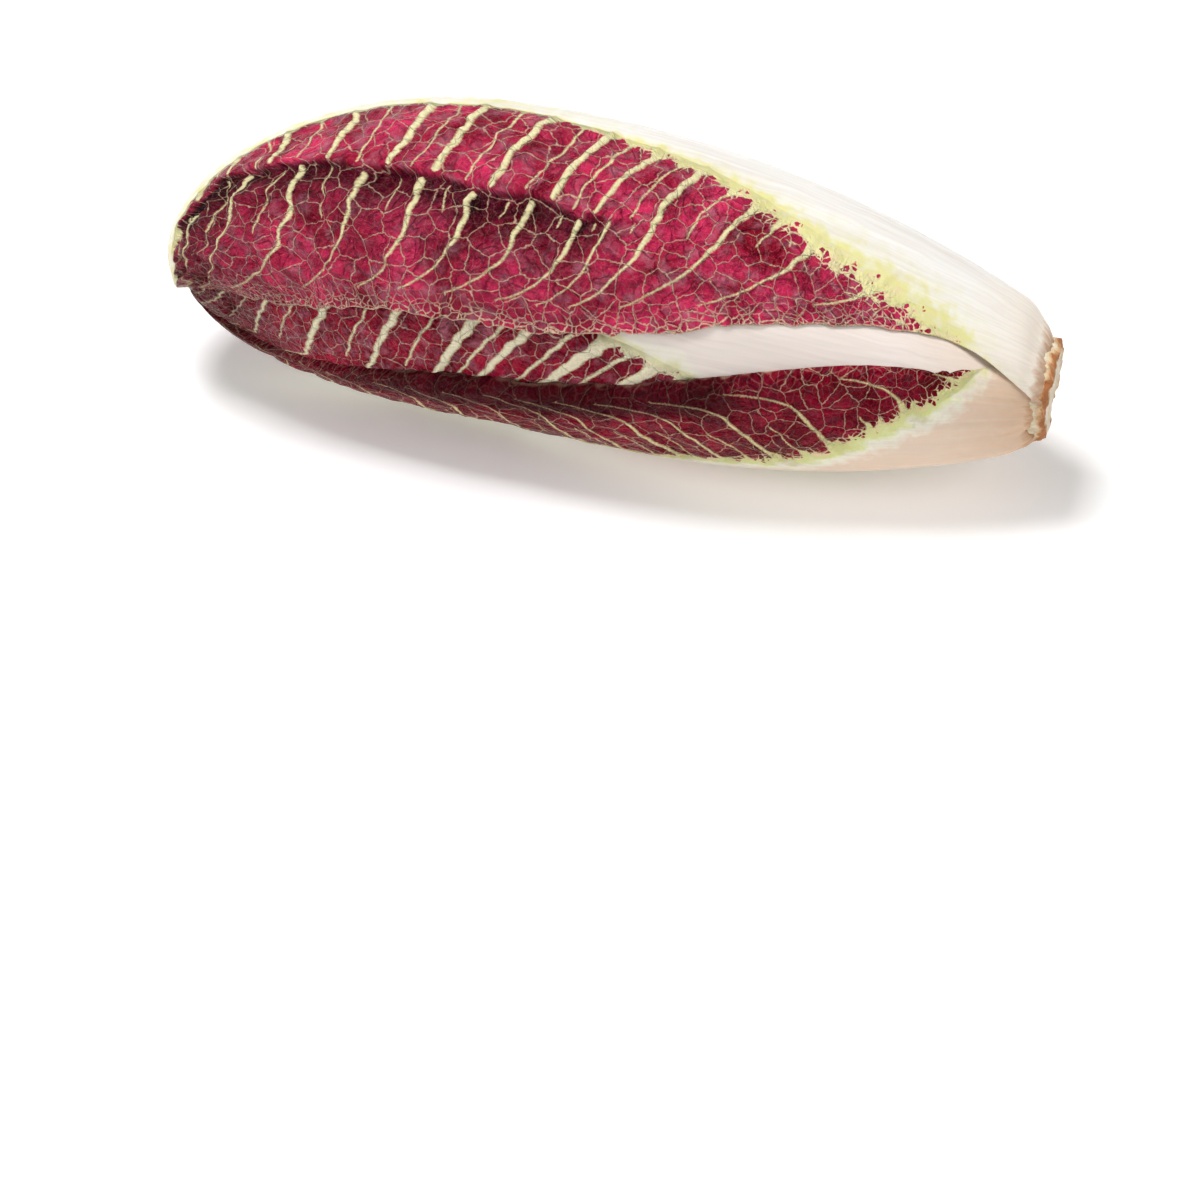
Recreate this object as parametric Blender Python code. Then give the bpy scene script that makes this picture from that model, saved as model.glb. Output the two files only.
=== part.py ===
"""A head of long red radicchio (the Treviso kind), as cut and laid on its side on a table.

The head is a short cut stem with leaves that grow from it one above another and fold over
the tip. Every leaf is a solid of its own: a thin blade, thickened along its midrib, that lies
at its own depth under the surface of the whole head. Metres, +Z up, cut butt towards +X,
tip towards -X, and the side that shows best towards -Y.
"""

import bmesh
import bpy
import numpy as np

# The whole head. Lengths run from the first leaf base, x = 0, towards the tip.
LEAF_LENGTH = 0.209  # from the first leaf base to the tip
HEAD_RADIUS = 0.0385  # at the widest place
NECK_RADIUS = 0.0155  # of the leaf bases just above the butt
FULLNESS = 2.5  # how soon the head swells above the neck
WIDEST_AT = 0.62  # share of the length at which the head is widest
WIDEST_ON_MERIDIAN = 0.587  # the same place as a share of the way over the surface
BOW = 0.0025  # how far the centre line bows towards the back and up
BOW_BEARING = np.radians(-45)
NOD = 0.008  # how far the tip bends the other way, to the front and down
NOD_FROM = 0.55  # share of the length at which that starts

# The stem and the heart, which the innermost leaves stand on.
STEM_LENGTH = 0.062
STEM_RADIUS = 0.0120
STEM_TAPER = 0.8
HEART_REACH = 0.140
HEART_EASE = 1.5
BUTT_LENGTH = 0.006
BUTT_RADIUS = 0.0125
BUTT_EDGE = 0.0012  # rounding of the cut
LEAF_GAP = 0.0003  # between the butt's shoulder and the leaf bases

# The leaf tips meet at a point on the front of the dome, not at its very end.
POLE_SHIFT = 0.094
POLE_REACH = 0.45
POLE_BEARING = np.radians(110)

# How the leaves lie on each other.
LAYER_PITCH = 0.0018
INNER_LEAVES = 16
FIRST_INNER_DEPTH = 0.0103
GOLDEN_ANGLE = 137.5
FIRST_INNER_BEARING = -125.0
MID_SPAN = 0.041  # the depth from the surface to the heart at the widest place
CLEARANCE = 0.0005
AXIS_HEIGHT = 0.0339  # over the table, so low that the head is pressed flat where it lies
LEAN = np.radians(2.3)  # how far the tip end lies higher than the butt
BALANCE_AT = 0.100  # the place along the head where it balances
PRESSED_BLADE = 0.0006  # left of the blade over the pressed flat

# Leaf tissue
BLADE = 0.0012
LEAF_RED = (0.235, 0.010, 0.050)
INNER_RED = (0.400, 0.008, 0.060)
HEART_PINK = (0.610, 0.060, 0.110)
STEM_IVORY = (0.820, 0.750, 0.580)


def smooth(share):
    share = np.clip(share, 0, 1)
    return share * share * (3 - 2 * share)


def surface_profile(m):
    """x and radius of the head's outer surface, m of the way over it from neck to tip."""
    rise = np.clip(m / WIDEST_ON_MERIDIAN, 0, 1)
    dome = np.clip((m - WIDEST_ON_MERIDIAN) / (1 - WIDEST_ON_MERIDIAN), 0, 1) * np.pi / 2
    x = LEAF_LENGTH * (WIDEST_AT * rise + (1 - WIDEST_AT) * np.sin(dome))
    radius = NECK_RADIUS + (HEAD_RADIUS - NECK_RADIUS) * (1 - (1 - rise) ** FULLNESS)
    return x, radius * np.cos(dome)


def stem_radius(x):
    return STEM_RADIUS * np.clip(1 - x / STEM_LENGTH, 0, 1) ** STEM_TAPER


def core_profile(m):
    """x and radius of the stem, and past its end of the heart's middle line."""
    x = HEART_REACH * (1 - (1 - m) ** HEART_EASE)
    return x, stem_radius(x)


def span(m):
    """The way in from the surface to the core."""
    x_out, r_out = surface_profile(m)
    x_in, r_in = core_profile(m)
    return np.hypot(x_out - x_in, r_out - r_in)


def centre_line(x):
    """y and z of the middle of the head at x."""
    bow = BOW * np.sin(np.pi * np.clip(x / LEAF_LENGTH, 0, 1) ** 1.3)
    bow = bow - NOD * np.clip((x / LEAF_LENGTH - NOD_FROM) / (1 - NOD_FROM), 0, 1) ** 2
    height = AXIS_HEIGHT + (x - BALANCE_AT) * np.tan(LEAN)
    return -bow * np.sin(BOW_BEARING), height + bow * np.cos(BOW_BEARING)


def place(x, bearing, radius):
    """A point of the head. Bearing is the angle from straight up, positive to the front."""
    y, z = centre_line(x)
    return np.stack([-x, y - radius * np.sin(bearing), z + radius * np.cos(bearing)], -1)


def to_pole(m, bearing):
    """Moves a place so that m = 1 is where the leaf tips meet."""
    away = 1 - m
    pull = POLE_SHIFT * np.clip(1 - (away / POLE_REACH) ** 2, 0, 1) ** 2
    along = away * np.cos(bearing) + pull * np.cos(POLE_BEARING)
    across = away * np.sin(bearing) + pull * np.sin(POLE_BEARING)
    return 1 - np.hypot(along, across), np.arctan2(across, along)


def leaf_point(m, bearing, depth, lift):
    """A point of a leaf that lies at depth, lift outside its inner face."""
    m, bearing = to_pole(m, bearing)
    x_out, r_out = surface_profile(m)
    x_in, r_in = core_profile(m)
    way = span(m)
    share = (depth * np.maximum(1, way / MID_SPAN) - lift) / way
    points = place(x_out + (x_in - x_out) * share, bearing, r_out + (r_in - r_out) * share)
    points[..., 2] = np.maximum(points[..., 2], np.where(lift > 0, 0, PRESSED_BLADE))
    return points


def half_width(leaf, u):
    """Half the angle that the leaf wraps, at u of its length."""
    spread = smooth(u / leaf["spread_by"])
    wide = leaf["base_width"] + (leaf["width"] - leaf["base_width"]) * spread
    round_off = np.sqrt(1 - np.clip((u - 0.72) / 0.28, 0, 1) ** 2 * (1 - leaf["tip"] ** 2))
    return np.radians(wide) * round_off


def thickness(leaf, u, angle):
    """The blade, thickened along the midrib."""
    away = angle * HEAD_RADIUS * 0.8
    rib = leaf["rib"] * (1 - u) ** 0.8
    rib_width = leaf["rib_width"] * (1 - 0.75 * u)
    return BLADE + rib * np.exp(-((away / rib_width) ** 2))


def leaf_face(leaf, u, v, outside):
    """Points of a leaf's outer or inner face; v runs from -1 to 1 across it."""
    m = leaf["start"] + (leaf["end"] - leaf["start"]) * u
    midrib = np.radians(leaf["bearing"] + leaf["sway"] * u)
    angle = v * half_width(leaf, u)
    lift = thickness(leaf, u, angle) if outside else 0
    return leaf_point(m, midrib + angle, leaf["depth"], lift)


def start_of(depth):
    """The place at which a leaf at this depth leaves the stem."""
    m = np.linspace(0.004, 0.6, 600)
    return float(m[np.argmax(span(m) > depth + CLEARANCE)])


def finish(name, bm, material, parent):
    bmesh.ops.recalc_face_normals(bm, faces=bm.faces)
    if bm.calc_volume(signed=True) < 0:
        bmesh.ops.reverse_faces(bm, faces=bm.faces)
    mesh = bpy.data.meshes.new(name)
    bm.to_mesh(mesh)
    bm.free()
    mesh.shade_smooth()
    mesh.materials.append(material)
    piece = bpy.data.objects.new(name, mesh)
    bpy.context.scene.collection.objects.link(piece)
    piece.parent = parent
    return piece


def material(name, colour, roughness):
    made = bpy.data.materials.new(name)
    made.use_nodes = True
    shader = made.node_tree.nodes["Principled BSDF"]
    shader.inputs["Base Color"].default_value = (*colour, 1)
    shader.inputs["Roughness"].default_value = roughness
    shader.inputs["Metallic"].default_value = 0.0
    return made


def make_leaf(name, leaf, grid, finish_with, parent):
    """A flat grid, doubled into a closed skin, then laid on the head face by face."""
    bm = bmesh.new()
    bmesh.ops.create_grid(bm, x_segments=grid[0], y_segments=grid[1], size=1.0)
    outer = list(bm.verts)
    doubled = bmesh.ops.extrude_face_region(bm, geom=bm.faces[:], use_keep_orig=True)
    inner = [part for part in doubled["geom"] if isinstance(part, bmesh.types.BMVert)]
    for verts, outside in ((outer, True), (inner, False)):
        flat = np.array([vert.co for vert in verts])
        u = 1 - (1 - (flat[:, 0] + 1) / 2) ** 1.25  # rows lie closer near the tip
        for vert, point in zip(verts, leaf_face(leaf, u, flat[:, 1], outside)):
            vert.co = point
    return finish(name, bm, finish_with, parent)


def make_stem(finish_with, parent):
    """The cut butt and, inside the leaves, the tapering stem: one turned piece."""
    butt = [
        (-BUTT_LENGTH, BUTT_RADIUS - BUTT_EDGE),
        (-BUTT_LENGTH + BUTT_EDGE, BUTT_RADIUS),
        (-BUTT_EDGE, BUTT_RADIUS),
        (LEAF_GAP, BUTT_RADIUS - BUTT_EDGE / 2),
    ]
    inside = [(x, stem_radius(x)) for x in np.linspace(2 * LEAF_GAP, 0.98 * STEM_LENGTH, 9)]
    turns = np.linspace(0, 2 * np.pi, 20, endpoint=False)
    bm = bmesh.new()
    rings = [
        [bm.verts.new(place(x, turn, radius)) for turn in turns] for x, radius in butt + inside
    ]
    for ring, following in zip(rings, rings[1:]):
        for i in range(len(turns)):
            bm.faces.new((ring[i], ring[i - 1], following[i - 1], following[i]))
    for end in (rings[0], rings[-1]):
        bm.faces.new(end)
    return finish("stem_core", bm, finish_with, parent)


def outer_leaves():
    """Over the top, round the underside, and the two that these leave a strip of to see."""
    return {
        "outer_leaf_top": dict(
            depth=0.0012, bearing=-38, sway=2, base_width=64, width=108, spread_by=0.58,
            tip=0.9, rib=0.0030, rib_width=0.014, start=0.004, end=0.985,
        ),
        "outer_leaf_underside": dict(
            depth=0.0030, bearing=128, sway=60, base_width=92, width=64, spread_by=0.5,
            tip=0.9, rib=0.0024, rib_width=0.013, start=start_of(0.0030), end=0.965,
        ),
        "outer_leaf_front": dict(
            depth=0.0067, bearing=52, sway=-8, base_width=60, width=84, spread_by=0.7,
            tip=0.9, rib=0.0021, rib_width=0.012, start=start_of(0.0067), end=0.96,
        ),
        "outer_leaf_back": dict(
            depth=0.0067, bearing=-128, sway=-4, base_width=70, width=84, spread_by=0.7,
            tip=0.9, rib=0.0021, rib_width=0.012, start=start_of(0.0067), end=0.96,
        ),
    }


def inner_leaf(number):
    """One of the leaves inside, counted from the outermost, in the order in which they grew."""
    depth = FIRST_INNER_DEPTH + LAYER_PITCH * number
    inward = number / INNER_LEAVES
    return dict(
        depth=depth, bearing=FIRST_INNER_BEARING - GOLDEN_ANGLE * number, sway=0,
        base_width=58, width=78, spread_by=0.7, tip=0.4,
        rib=0.0021 * (1 - 0.4 * inward), rib_width=0.012 - 0.006 * inward,
        start=start_of(depth), end=0.94 - 0.03 * inward,
    )


def main():
    for old in list(bpy.data.objects):
        bpy.data.objects.remove(old)
    head = bpy.data.objects.new("head", None)
    bpy.context.scene.collection.objects.link(head)
    red = material("outer_leaf", LEAF_RED, 0.42)
    inner_red = material("inner_leaf", INNER_RED, 0.38)
    pink = material("heart_leaf", HEART_PINK, 0.40)
    ivory = material("stem", STEM_IVORY, 0.50)
    pieces = [make_stem(ivory, head)]
    for name, leaf in outer_leaves().items():
        pieces.append(make_leaf(name, leaf, (20, 22), red, head))
    for number in range(INNER_LEAVES):
        heart = number >= INNER_LEAVES - 3
        name = f"heart_leaf_{number - INNER_LEAVES + 4}" if heart else f"inner_leaf_{number + 1:02d}"
        pieces.append(
            make_leaf(name, inner_leaf(number), (10, 9), pink if heart else inner_red, head)
        )
    corners = np.array([v.co for piece in pieces for v in piece.data.vertices])
    low, high = corners.min(0), corners.max(0)
    head.location = (-(low[0] + high[0]) / 2, -(low[1] + high[1]) / 2, -low[2])


main()
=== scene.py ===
"""A head of long red radicchio (the Treviso kind), lying on its side on a white table."""

import functools

import bpy
import numpy as np
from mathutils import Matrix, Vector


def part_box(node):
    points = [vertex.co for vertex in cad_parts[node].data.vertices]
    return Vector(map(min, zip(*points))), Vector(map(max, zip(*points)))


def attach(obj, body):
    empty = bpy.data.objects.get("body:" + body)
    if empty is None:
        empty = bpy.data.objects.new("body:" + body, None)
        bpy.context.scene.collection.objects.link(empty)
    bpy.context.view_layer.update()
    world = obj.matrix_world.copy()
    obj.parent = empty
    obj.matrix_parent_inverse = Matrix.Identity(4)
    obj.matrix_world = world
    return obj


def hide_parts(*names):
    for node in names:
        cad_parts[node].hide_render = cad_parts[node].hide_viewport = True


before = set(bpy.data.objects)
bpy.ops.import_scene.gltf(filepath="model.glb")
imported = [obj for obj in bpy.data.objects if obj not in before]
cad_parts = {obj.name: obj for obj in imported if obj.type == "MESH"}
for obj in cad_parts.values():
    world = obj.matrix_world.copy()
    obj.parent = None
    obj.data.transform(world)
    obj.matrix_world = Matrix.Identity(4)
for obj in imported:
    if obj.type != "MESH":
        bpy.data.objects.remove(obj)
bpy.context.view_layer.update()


# ---------------------------------------------------------------------------------------------
# The cut butt and the stem inside the leaves.
# Firm ivory stem tissue, sliced off with a knife. The cut dries to a corky tan, and the rim
# keeps brown, torn scars where the outermost leaves were pulled off.

BUTT_LENGTH = 0.006
BUTT_RADIUS = 0.0125
STEM_LENGTH = 0.062
STEM_RADIUS = 0.0120
STEM_TAPER = 0.8  # 1 is a straight cone, and less a blunter one
LEAF_LENGTH = 0.209  # from the first leaf base, where the head's own x is 0, to the tip
BOW = 0.0025  # how far the middle line bows towards the back and up
NOD = 0.008  # how far the tip bends the other way
NOD_FROM = 0.55  # the share of the length at which it starts to
AXIS_HEIGHT = 0.0339  # of the middle line over the table, at BALANCE_AT
LEAN = np.radians(2.3)  # how much the middle line climbs towards the tip
BALANCE_AT = 0.100

stem_low, stem_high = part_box("stem_core")
NECK = np.array([stem_high.x - BUTT_LENGTH, (stem_low.y + stem_high.y) / 2, 0.0])


def smooth(share):
    """Eases from 0 to 1."""
    share = np.clip(share, 0, 1)
    return share * share * (3 - 2 * share)


def waves(x, y, size, seed):
    """Smooth random hills and hollows from -1 to 1, about size apart."""
    table = np.random.default_rng(seed).uniform(-1, 1, (64, 64))
    column, row = np.floor(x / size).astype(int), np.floor(y / size).astype(int)
    right, up = smooth(x / size - column), smooth(y / size - row)
    low = table[column % 64, row % 64] * (1 - right) + table[(column + 1) % 64, row % 64] * right
    row = row + 1
    high = table[column % 64, row % 64] * (1 - right) + table[(column + 1) % 64, row % 64] * right
    return low * (1 - up) + high * up


def place(x, bearing, radius):
    """A point of the head. Bearing is the angle from straight up, positive to the front."""
    bow = BOW * np.sin(np.pi * np.clip(x / LEAF_LENGTH, 0, 1) ** 1.3)
    bow = bow - NOD * np.clip((x / LEAF_LENGTH - NOD_FROM) / (1 - NOD_FROM), 0, 1) ** 2
    aside = bow * np.sqrt(0.5)
    height = AXIS_HEIGHT + (x - BALANCE_AT) * np.tan(LEAN) + aside
    y, z = aside - radius * np.sin(bearing), height + radius * np.cos(bearing)
    return NECK + np.stack(np.broadcast_arrays(-x, y, z), -1)


def stem_radius(x):
    """The stem narrows inside the head, down to nothing at its tip."""
    return STEM_RADIUS * np.clip(1 - x / STEM_LENGTH, 0, 1) ** STEM_TAPER


def colour(code):
    """A linear colour from an sRGB hex code."""
    parts = np.array([int(code[i : i + 2], 16) for i in (1, 3, 5)]) / 255
    return (*np.where(parts <= 0.04045, parts / 12.92, ((parts + 0.055) / 1.055) ** 2.4), 1)


def node(tree, kind, *fed, output=None, stops=(), **more):
    """Adds a node and gives one of its outputs, the first unless another is named. What is fed,
    a socket or a value, goes into the inputs in order. A word with a capital is an input by its
    name, any other is a setting, and stops are the places and hex codes of a ramp."""
    made = tree.nodes.new("ShaderNode" + kind)
    for name, value in more.items():
        if name[0].islower():
            setattr(made, name, value)
    inputs = list(zip([socket for socket in made.inputs if socket.enabled], fed))
    inputs += [(made.inputs[name.replace("_", " ")], more[name]) for name in more if name[0].isupper()]
    for socket, value in inputs:
        if isinstance(value, bpy.types.NodeSocket):
            tree.links.new(value, socket)
        else:
            socket.default_value = value
    if stops:
        elements = made.color_ramp.elements
        while len(elements) < len(stops):
            elements.new(0.5)
        for element, (position, code) in zip(elements, stops):
            element.position = position
            element.color = colour(code)
    if output:
        return made.outputs[output]
    return next((socket for socket in made.outputs if socket.enabled), None)


def new_material(name):
    """An empty material, and the function that adds a node to it."""
    made = bpy.data.materials.new(name)
    made.use_nodes = True
    made.node_tree.nodes.clear()
    return made, functools.partial(node, made.node_tree)


def surface(add, base, roughness, height, relief, **uniform):
    """Closes a material: its colour, roughness and bumps, and values that are the same all over."""
    normal = add("Bump", Height=height, Distance=relief, Strength=1.0)
    shader = add("BsdfPrincipled", Base_Color=base, Roughness=roughness, Normal=normal, **uniform)
    add("OutputMaterial", Surface=shader)


def mesh_piece(name, vertices, faces, material):
    """A smooth-shaded object of its own."""
    mesh = bpy.data.meshes.new(name)
    mesh.from_pydata(vertices, [], faces)
    mesh.shade_smooth()
    mesh.materials.append(material)
    piece = bpy.data.objects.new(name, mesh)
    bpy.context.scene.collection.objects.link(piece)
    return piece


def attribute(mesh, name, values):
    """Stores three numbers for each vertex, for the material to read."""
    made = mesh.attributes.new(name, "FLOAT_VECTOR", "POINT")
    made.data.foreach_set("vector", np.asarray(values, np.float32).ravel())


def cut_stem_tissue():
    """Chicory stem, cut with a knife: damp ivory that dries matt and tan from the rim inwards, in
    clouds of about 3 mm, with pith cells of 0.5 mm."""
    made, add = new_material("cut_stem_tissue")
    at = add("Attribute", attribute_name="stem_mm", output="Vector")
    brown = add("SeparateXYZ", at, output="X")
    cloud = add("TexNoise", Vector=at, Scale=0.35, Detail=5.0)
    grit = add("TexNoise", Vector=at, Scale=2.2, Detail=4.0)
    dried = add("Math", cloud, 1.8, -0.80, operation="MULTIPLY_ADD")
    dried = add("Math", brown, 0.75, dried, operation="MULTIPLY_ADD")
    dried = add("Math", grit, 0.35, dried, operation="MULTIPLY_ADD", use_clamp=True)
    stops = ((0.0, "#F8F0DC"), (0.4, "#F0DDBC"), (0.75, "#DDAE7C"), (1.0, "#B5713E"))
    base = add("ValToRGB", dried, stops=stops)
    height = add("Math", cloud, grit, operation="ADD")
    surface(add, base, 0.62, height, 0.0006, Subsurface_Weight=0.1, Subsurface_Scale=0.002)
    return made


def make_stem(turns=144):
    """One turned skin: the cut, dished by 0.6 mm and rough, its ragged rim, the shoulder and the
    inner cone, each as a list of x and radius."""
    shares = np.linspace(0.03, 1, 24)
    cut = [(0.0012 - 0.0006 * share - BUTT_LENGTH, share * BUTT_RADIUS * 0.90) for share in shares]
    side = [(x, BUTT_RADIUS * 0.95) for x in np.linspace(-0.0049, -0.0004, 14)]
    inside = [(x, stem_radius(x)) for x in np.linspace(0.0012, 0.98 * STEM_LENGTH, 26)]
    x, radius = np.array(cut + side + inside).T[:, :, None]
    turn = np.linspace(0, 2 * np.pi, turns, endpoint=False)[None, :]
    across, up = radius * np.cos(turn) * 1e3, radius * np.sin(turn) * 1e3
    butt = 1 - smooth((x + 0.001) / 0.003)
    ragged = 0.8 * waves(across, up, 3.1, 1) + 0.5 * waves(across, up, 1.2, 2)
    scars = waves(across * 2, x * 1e3 * 3 + 40, 2.4, 4) + 0.6 * waves(across * 2, up * 2, 1.3, 5)
    rim = smooth((radius / BUTT_RADIUS - 0.60) / 0.3) * butt
    brown = smooth((radius / BUTT_RADIUS - 0.74) / 0.18) * (1 - smooth((x + 0.0046) / 0.0022))
    x = x + (ragged * 0.0010 * rim + 0.00025 * waves(across, up, 0.9, 3)) * butt
    x = np.maximum(x, 0.0002 - BUTT_LENGTH)
    radius = radius * (1 + (0.045 * ragged + 0.03 * scars) * rim)
    points = place(x, turn + 0 * x, radius).reshape(-1, 3)
    rows = len(cut) + len(side) + len(inside)
    faces = []
    for low in range(0, (rows - 1) * turns, turns):
        for j in range(turns):
            after = (j + 1) % turns
            faces.append((low + j, low + after, low + turns + after, low + turns + j))
    faces.append(tuple(range(turns))[::-1])
    faces.append(tuple(range((rows - 1) * turns, rows * turns)))
    piece = mesh_piece("stem_cut_at_the_butt", points, faces, cut_stem_tissue())
    kept = [brown, across, up + x * 1e3]
    attribute(piece.data, "stem_mm", np.stack([k + 0 * (x + turn) for k in kept], -1))
    return piece


stem = make_stem()
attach(stem, "root")
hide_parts("stem_core")


# ---------------------------------------------------------------------------------------------
# The outer leaf over the top.
# The oldest leaf left on the head: a broad ivory stalk that runs out into a raised midrib over
# the back and the tip, with side veins and a fine net of cream veins in a puckered crimson
# blade. Leaves hold by their bases on the stem and by folding over each other.

HEAD_RADIUS = 0.0385
NECK_RADIUS = 0.0155  # of the head just above the butt
FULLNESS = 2.5  # how quickly it swells from the neck
WIDEST_AT = 0.62  # the share of the length at which it is widest, and of the way over its surface
WIDEST_ON_MERIDIAN = 0.587
HEART_REACH = 0.140  # how far in from the neck the leaves' core reaches, and how it gets there
HEART_EASE = 1.5
MID_SPAN = 0.041  # from the surface to the core, where a leaf keeps the depth it is given
POLE_SHIFT = 0.094  # the tips meet this share of the way over the surface off the middle line
POLE_REACH = 0.45  # within this share of the way from the tip
POLE_BEARING = np.radians(110)
PRESSED_BLADE = 0.0006  # the floor keeps a leaf's inner face this far up, for the blade under it
BLADE = 0.0012
SHOULDER = 0.007  # over which a leaf base rounds in to the butt
CLASP_OVER = 0.12  # share of the leaf over which its base widens to clasp the stem
HIGHEST = -0.1  # mm over the plain surface that no bump passes, and how softly it is held there
SOFTLY = 0.12
LOOP_AT = 0.90  # share of the half leaf at which the side veins bend round and join
FIRST_ROOT = -12.0  # mm from the base at which the first side vein leaves the midrib
WEAK = 0.42  # how strong a weak side vein is, and how far out it reaches
WEAK_REACH = 0.62


def surface_profile(m):
    """x and radius of the head's outer surface, m of the way over it from neck to tip."""
    rise = np.clip(m / WIDEST_ON_MERIDIAN, 0, 1)
    dome = np.clip((m - WIDEST_ON_MERIDIAN) / (1 - WIDEST_ON_MERIDIAN), 0, 1) * np.pi / 2
    x = LEAF_LENGTH * (WIDEST_AT * (rise + np.minimum(m, 0)) + (1 - WIDEST_AT) * np.sin(dome))
    radius = NECK_RADIUS + (HEAD_RADIUS - NECK_RADIUS) * (1 - (1 - rise) ** FULLNESS)
    return x, radius * np.cos(dome)


def span(m):
    """The way in from the head's surface to its core, and the core's x and radius."""
    x_out, r_out = surface_profile(m)
    x_in = HEART_REACH * (1 - (1 - m) ** HEART_EASE)
    r_in = stem_radius(x_in)
    return np.hypot(x_out - x_in, r_out - r_in), x_in, r_in


def start_of(depth):
    """The place at which a leaf at this depth leaves the stem."""
    m = np.linspace(0.004, 0.6, 600)
    return float(m[np.argmax(span(m)[0] > depth + 0.0005)])


def leaf_point(m, bearing, depth, lift, floor=0.0):
    """A point of a leaf that lies at depth under the head's surface, lift outside its inner face."""
    away = 1 - m
    pull = POLE_SHIFT * np.clip(1 - (away / POLE_REACH) ** 2, 0, 1) ** 2
    along = away * np.cos(bearing) + pull * np.cos(POLE_BEARING)
    across = away * np.sin(bearing) + pull * np.sin(POLE_BEARING)
    m, bearing = 1 - np.hypot(along, across), np.arctan2(across, along)
    x_out, r_out = surface_profile(m)
    way, x_in, r_in = span(m)
    share = (depth * np.maximum(1, way / MID_SPAN) - lift) / way
    points = place(x_out + (x_in - x_out) * share, bearing, r_out + (r_in - r_out) * share)
    points[..., 2] = np.maximum(points[..., 2], floor)
    return points


def half_width(leaf, u):
    """Half the angle that the leaf wraps, at u of its length."""
    spread = smooth(u / leaf["spread_by"])
    wide = leaf["base_width"] + (leaf["width"] - leaf["base_width"]) * spread
    wide = wide + leaf["clasp"] * np.clip(1 - u / CLASP_OVER, 0, 1) ** 2
    round_off = np.sqrt(1 - np.clip((u - 0.72) / 0.28, 0, 1) ** 2 * (1 - leaf["tip"] ** 2))
    return np.radians(wide) * round_off


def lay(leaf, u, v, lift, floor=0.0):
    """Lays a flat leaf on the head: u runs from base to tip, v from -1 to 1 across it."""
    m = leaf["start"] + (leaf["end"] - leaf["start"]) * u
    bearing = np.radians(leaf["bearing"] + leaf["sway"] * u) + v * half_width(leaf, u)
    return leaf_point(m, bearing, leaf["depth"], lift, floor)


def flat_size(leaf, u, v):
    """Millimetres along each line of the leaf from its base, and across it from the midrib."""
    points = lay(leaf, u, v, BLADE)
    steps = np.linalg.norm(np.diff(points, axis=0), axis=-1) * 1e3
    along = np.concatenate([np.zeros((1, u.shape[1])), np.cumsum(steps, 0)])
    steps = np.linalg.norm(np.diff(points, axis=1), axis=-1) * 1e3
    across = np.concatenate([np.zeros((u.shape[0], 1)), np.cumsum(steps, 1)], 1)
    return along, across - across[:, u.shape[1] // 2, None]


def chart(leaf, u, v):
    """A flat map of the leaf in mm, across and along it, that keeps small shapes undistorted."""
    m = np.linspace(-0.02, 1, 800)
    x, radius = surface_profile(m)
    steps = np.hypot(np.diff(x), np.diff(radius)) / np.maximum(radius[1:], 0.014)
    along = np.concatenate([[0], np.cumsum(steps)]) * HEAD_RADIUS * 1e3
    here, base = leaf["start"] + (leaf["end"] - leaf["start"]) * u, leaf["start"]
    across = (np.radians(leaf["sway"] * u) + v * half_width(leaf, u)) * HEAD_RADIUS * 1e3
    return across, np.interp(here, m, along) - np.interp(base, m, along)


def steepness(leaf, u, v, values):
    """How fast values change over the leaf, per mm."""
    down, right = np.gradient(lay(leaf, u, v, BLADE) * 1e3, axis=(0, 1))
    a, b, c = (down * down).sum(-1), (down * right).sum(-1), (right * right).sum(-1)
    by_row, by_column = np.gradient(values)
    square = by_row**2 * c - 2 * by_row * by_column * b + by_column**2 * a
    return np.sqrt(np.maximum(square, 0) / np.maximum(a * c - b * b, 1e-6))


def over_fold(leaf, u, v):
    """Mm outwards from the fold along the blade, and how marked the fold is there."""
    line = np.interp(u, *leaf["fold"]) + 0.022 * waves(u * 240, 0 * u, 13, leaf["seed"])
    from_line = (v - line) * half_width(leaf, u) * HEAD_RADIUS * 1e3
    return from_line, smooth((u - 0.40) / 0.13) * (1 - smooth((u - 0.86) / 0.08))


def vein_rows(leaf, side, draw, q, across, length, reach):
    """Where the side veins of one side pass: for each, the mm along the leaf from its base. It
    sweeps tipwards, less so the nearer the tip it starts, wobbles a little and hooks at the end."""
    out = 0.5 - np.sin(np.arcsin(1 - 2 * q) / 3)
    root, rows = FIRST_ROOT, []
    while root < reach:
        rise = leaf["sweep"] * (1 - 0.9 * smooth((root / length - 0.15) / 0.70))
        rise = rise * smooth((root + 25) / 75)
        wobble = 1.2 * waves(across, 0 * q + 50 * len(rows), 24, leaf["seed"] + side)
        hook = 9 * np.clip((q - 0.78) / 0.22, 0, 1) ** 2
        rows.append(root + rise * out + hook + wobble * smooth(np.abs(across) / 12))
        small = 1 - 0.45 * smooth((root / length - 0.6) / 0.4)
        root += leaf["vein_pitch"] * draw.uniform(0.40, 0.60) * small
    return rows


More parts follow.
